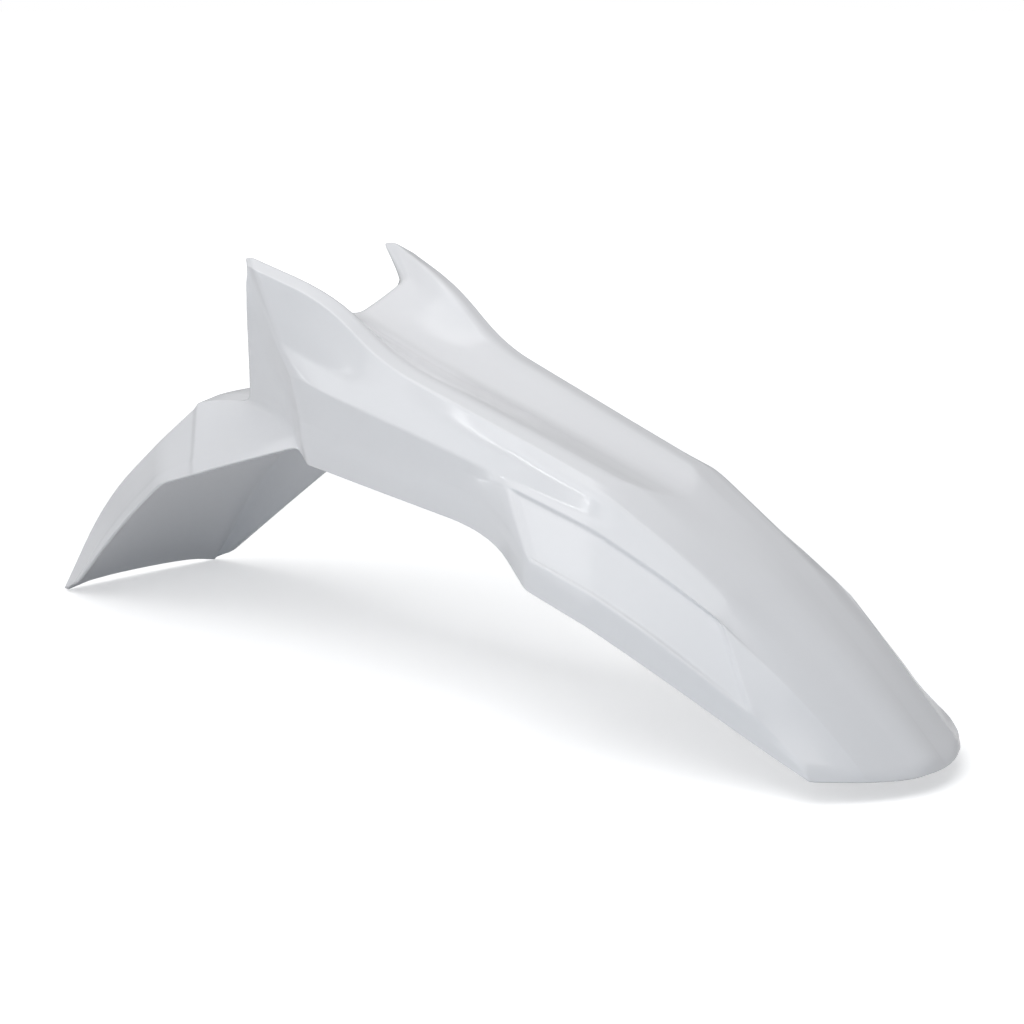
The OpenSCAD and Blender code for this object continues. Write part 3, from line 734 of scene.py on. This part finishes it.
# Geometry nodes: the moulded bosses under the deck, repeated on their pitch
def boss_tree():
    tree = bpy.data.node_groups.new("moulded bosses", "GeometryNodeTree")
    face = tree.interface
    face.new_socket(name="Shell", in_out="INPUT", socket_type="NodeSocketGeometry")
    for label, value in (("Pitch along", boss_pitch_x * MM), ("Pitch across", boss_pitch_y * MM),
                         ("Boss radius", boss_r * MM), ("Root radius", (boss_r + boss_flare) * MM),
                         ("Boss height", (valley_z + 0.6 - 0.55 * wall) * MM),
                         ("Bore radius", bore_r * MM), ("Bore depth", bore_depth * MM),
                         ("Deck slope rear", deck_slope(-boss_pitch_x / 2)),
                         ("Deck slope front", deck_slope(boss_pitch_x / 2))):
        s = face.new_socket(name=label, in_out="INPUT", socket_type="NodeSocketFloat")
        s.default_value = value
    face.new_socket(name="Skin", in_out="INPUT", socket_type="NodeSocketMaterial")
    face.new_socket(name="Underside", in_out="INPUT", socket_type="NodeSocketMaterial")
    face.new_socket(name="Mudguard", in_out="OUTPUT", socket_type="NodeSocketGeometry")
    n, l = tree.nodes, tree.links
    gi, go = n.new("NodeGroupInput"), n.new("NodeGroupOutput")

    def math_node(op, a, b):
        m = n.new("ShaderNodeMath")
        m.operation = op
        for k, v in enumerate((a, b)):
            if hasattr(v, "is_output"):
                l.new(v, m.inputs[k])
            else:
                m.inputs[k].default_value = v
        return m.outputs[0]

    def lifted(mesh, by):
        up = n.new("ShaderNodeCombineXYZ")
        l.new(by, up.inputs["Z"])
        move = n.new("GeometryNodeTransform")
        l.new(mesh, move.inputs["Geometry"])
        l.new(up.outputs[0], move.inputs["Translation"])
        return move.outputs[0]

    def cylinder(radius, depth):
        c = n.new("GeometryNodeMeshCylinder")
        c.inputs["Vertices"].default_value = 64
        l.new(radius, c.inputs["Radius"])
        l.new(depth, c.inputs["Depth"])
        return c.outputs["Mesh"]

    height, depth = gi.outputs["Boss height"], gi.outputs["Bore depth"]
    stem = math_node("ADD", depth, stem_over_bore * MM)
    foot = math_node("ADD", depth, root_over_bore * MM)
    body = lifted(cylinder(gi.outputs["Boss radius"], stem), math_node("MULTIPLY", stem, 0.5))
    cutter = cylinder(gi.outputs["Bore radius"], math_node("MULTIPLY", depth, 2.0))
    cone = n.new("GeometryNodeMeshCone")
    cone.fill_type = "TRIANGLE_FAN"
    cone.inputs["Vertices"].default_value = 64
    l.new(math_node("SUBTRACT", gi.outputs["Boss radius"], root_inset * MM), cone.inputs["Radius Bottom"])
    l.new(gi.outputs["Root radius"], cone.inputs["Radius Top"])
    l.new(math_node("SUBTRACT", height, foot), cone.inputs["Depth"])
    root = lifted(cone.outputs["Mesh"], foot)
    bored = n.new("GeometryNodeMeshBoolean")
    bored.operation = "DIFFERENCE"
    l.new(body, bored.inputs["Mesh 1"])
    l.new(cutter, bored.inputs["Mesh 2"])
    boss = n.new("GeometryNodeJoinGeometry")
    l.new(bored.outputs["Mesh"], boss.inputs[0])
    l.new(root, boss.inputs[0])
    grid = n.new("GeometryNodeMeshGrid")
    grid.inputs["Vertices X"].default_value = grid.inputs["Vertices Y"].default_value = 2
    l.new(gi.outputs["Pitch along"], grid.inputs["Size X"])
    l.new(gi.outputs["Pitch across"], grid.inputs["Size Y"])
    repeat = n.new("GeometryNodeInstanceOnPoints")
    l.new(grid.outputs["Mesh"], repeat.inputs["Points"])
    l.new(boss.outputs[0], repeat.inputs["Instance"])
    real = n.new("GeometryNodeRealizeInstances")
    l.new(repeat.outputs[0], real.inputs[0])
    mark = n.new("GeometryNodeStoreNamedAttribute")
    mark.data_type, mark.domain = "BOOLEAN", "FACE"
    mark.inputs["Name"].default_value = "underside"
    mark.inputs["Value"].default_value = True
    # The roots' upper ends follow the deck, which rises from its valley to the rims
    place = n.new("GeometryNodeInputPosition")
    xyz = n.new("ShaderNodeSeparateXYZ")
    at = n.new("ShaderNodeCombineXYZ")
    l.new(place.outputs[0], xyz.inputs[0])
    slope = n.new("ShaderNodeMapRange")
    slope.clamp = False
    l.new(xyz.outputs["X"], slope.inputs["Value"])
    l.new(math_node("MULTIPLY", gi.outputs["Pitch along"], -0.5), slope.inputs["From Min"])
    l.new(math_node("MULTIPLY", gi.outputs["Pitch along"], 0.5), slope.inputs["From Max"])
    l.new(gi.outputs["Deck slope rear"], slope.inputs["To Min"])
    l.new(gi.outputs["Deck slope front"], slope.inputs["To Max"])
    across = math_node("ABSOLUTE", xyz.outputs["Y"], 0.0)
    out = math_node("MAXIMUM", math_node("SUBTRACT", across, valley_flat * MM), 0.0)
    rise = math_node("ADD", height, math_node("MULTIPLY", out, slope.outputs["Result"]))
    l.new(xyz.outputs["X"], at.inputs["X"])
    l.new(xyz.outputs["Y"], at.inputs["Y"])
    l.new(rise, at.inputs["Z"])
    follow = n.new("GeometryNodeSetPosition")
    l.new(real.outputs[0], follow.inputs["Geometry"])
    just_below = math_node("SUBTRACT", height, 0.5 * MM)
    l.new(math_node("GREATER_THAN", xyz.outputs["Z"], just_below), follow.inputs["Selection"])
    l.new(at.outputs[0], follow.inputs["Position"])
    l.new(follow.outputs[0], mark.inputs["Geometry"])
    flat = n.new("GeometryNodeSetShadeSmooth")
    flat.inputs["Shade Smooth"].default_value = False
    l.new(mark.outputs[0], flat.inputs[0])
    join = n.new("GeometryNodeJoinGeometry")
    l.new(flat.outputs[0], join.inputs[0])
    l.new(gi.outputs["Shell"], join.inputs[0])
    skin = n.new("GeometryNodeSetMaterial")
    l.new(join.outputs[0], skin.inputs["Geometry"])
    l.new(gi.outputs["Skin"], skin.inputs["Material"])
    where = n.new("GeometryNodeInputNamedAttribute")
    where.data_type = "BOOLEAN"
    where.inputs["Name"].default_value = "underside"
    below = n.new("GeometryNodeSetMaterial")
    l.new(skin.outputs[0], below.inputs["Geometry"])
    l.new(where.outputs["Attribute"], below.inputs["Selection"])
    l.new(gi.outputs["Underside"], below.inputs["Material"])
    l.new(below.outputs[0], go.inputs[0])
    return tree


def make_mudguard():
    o = bpy.data.objects.new("mudguard_source", shell_mesh())
    bpy.context.scene.collection.objects.link(o)
    mod = o.modifiers.new("bosses", "NODES")
    mod.node_group = boss_tree()
    for item in mod.node_group.interface.items_tree:
        if item.in_out == "INPUT" and item.name == "Skin":
            mod[item.identifier] = white_gloss
        if item.in_out == "INPUT" and item.name == "Underside":
            mod[item.identifier] = underside_painted_lighter
    graph = bpy.context.evaluated_depsgraph_get()
    mesh = bpy.data.meshes.new_from_object(o.evaluated_get(graph), depsgraph=graph)
    mesh.name = "mudguard"
    bpy.data.objects.remove(o)
    piece = bpy.data.objects.new("mudguard", mesh)
    bpy.context.scene.collection.objects.link(piece)
    return piece


mudguard = make_mudguard()
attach(mudguard, "root")
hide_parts("front_mudguard")

# Floor square to the photograph's upright, just under the mudguard
TILT = Vector((-0.2419, 0, 0.9703)).normalized()


def add_floor():
    """A pale plane that takes the mudguard's shadow and turns white away from it."""
    co = np.empty(len(mudguard.data.vertices) * 3, np.float32)
    mudguard.data.vertices.foreach_get("co", co)
    low = float((co.reshape(-1, 3) @ np.array(TILT)).min())
    turn = TILT.to_track_quat("Z", "Y").to_matrix()
    size, foot = 14.0, TILT * (low - 0.0005)
    corners = [foot + turn @ Vector((sx * size, sy * size, 0))
               for sx, sy in ((-1, -1), (1, -1), (1, 1), (-1, 1))]
    mesh = bpy.data.meshes.new("floor")
    mesh.from_pydata([tuple(c) for c in corners], [], [(0, 1, 2, 3)])
    floor = bpy.data.objects.new("floor", mesh)
    bpy.context.scene.collection.objects.link(floor)
    m = bpy.data.materials.new("pale floor")
    m.use_nodes = True
    n, l = m.node_tree.nodes, m.node_tree.links
    bsdf = n["Principled BSDF"]
    bsdf.inputs["Base Color"].default_value = (0.9, 0.9, 0.9, 1)
    bsdf.inputs["Roughness"].default_value = 0.9
    bsdf.inputs["Specular IOR Level"].default_value = 0.0
    glow = n.new("ShaderNodeEmission")
    glow.inputs["Color"].default_value = (1, 1, 1, 1)
    path = n.new("ShaderNodeLightPath")
    seen = n.new("ShaderNodeMath")
    seen.operation = "MULTIPLY"
    place = n.new("ShaderNodeTexCoord")
    away = n.new("ShaderNodeVectorMath")
    reach = n.new("ShaderNodeMapRange")
    away.operation = "LENGTH"
    l.new(place.outputs["Object"], away.inputs[0])
    l.new(away.outputs["Value"], reach.inputs["Value"])
    for label, value in (("From Min", 0.6), ("From Max", 2.2), ("To Min", 0.42), ("To Max", 1.0)):
        reach.inputs[label].default_value = value
    l.new(path.outputs["Is Camera Ray"], seen.inputs[0])
    l.new(reach.outputs[0], seen.inputs[1])
    l.new(seen.outputs[0], glow.inputs["Strength"])
    add = n.new("ShaderNodeAddShader")
    l.new(bsdf.outputs[0], add.inputs[0])
    l.new(glow.outputs[0], add.inputs[1])
    l.new(add.outputs[0], n["Material Output"].inputs["Surface"])
    mesh.materials.append(m)


add_floor()


# Plain soft studio light
def add_light(name, azimuth, elevation, size, power, colour=(1, 1, 1), away=4.0, mirror_only=False):
    """A rectangular soft lamp that faces the part from a direction given in degrees."""
    data = bpy.data.lights.new(name, "AREA")
    data.shape = "RECTANGLE"
    (data.size, data.size_y), data.energy, data.color = size, power, colour
    lamp = bpy.data.objects.new(name, data)
    bpy.context.scene.collection.objects.link(lamp)
    lamp.visible_diffuse = not mirror_only
    az, el = math.radians(azimuth), math.radians(elevation)
    way = Vector((math.cos(el) * math.cos(az), math.cos(el) * math.sin(az), math.sin(el)))
    side = (Vector((1, 0, 0)) - way * way.x).normalized()
    other = way.cross(side)
    place = way * away
    lamp.matrix_world = Matrix((
        (side.x, other.x, way.x, place[0]), (side.y, other.y, way.y, place[1]),
        (side.z, other.z, way.z, place[2]), (0, 0, 0, 1)))
    return lamp


add_light("broad softbox", 244, 30, (3.4, 3.2), 31)
add_light("near overhead softbox", 240, 74, (1.4, 1.2), 7.2, away=1.05)
add_light("far softbox", 150, 50, (3.0, 3.0), 8)
add_light("cool fill", 305, 8, (0.8, 0.8), 1.1, colour=(0.4, 0.72, 1), away=1.3)
# Panels that only show as reflections, on the side faces and along the creases
add_light("side panel", 231, 6, (1.5, 2.1), 10, mirror_only=True)
add_light("rim strip", 227, 31, (0.4, 0.16), 2.6, mirror_only=True)
add_light("low strip", 228, -3, (0.6, 0.14), 1.2, mirror_only=True)


def add_world():
    """Even light from all round, which the camera sees as white."""
    world = bpy.data.worlds.new("studio")
    bpy.context.scene.world = world
    world.use_nodes = True
    n, l = world.node_tree.nodes, world.node_tree.links
    out = n["World Output"]
    light, seen, mix = n["Background"], n.new("ShaderNodeBackground"), n.new("ShaderNodeMixShader")
    light.inputs["Color"].default_value = (0.95, 0.97, 1.0, 1)
    light.inputs["Strength"].default_value = 0.36
    seen.inputs["Color"].default_value = (1, 1, 1, 1)
    seen.inputs["Strength"].default_value = 1.0
    path = n.new("ShaderNodeLightPath")
    l.new(path.outputs["Is Camera Ray"], mix.inputs["Fac"])
    l.new(light.outputs[0], mix.inputs[1])
    l.new(seen.outputs[0], mix.inputs[2])
    l.new(mix.outputs[0], out.inputs["Surface"])


add_world()
bpy.context.scene.view_settings.view_transform = "Standard"
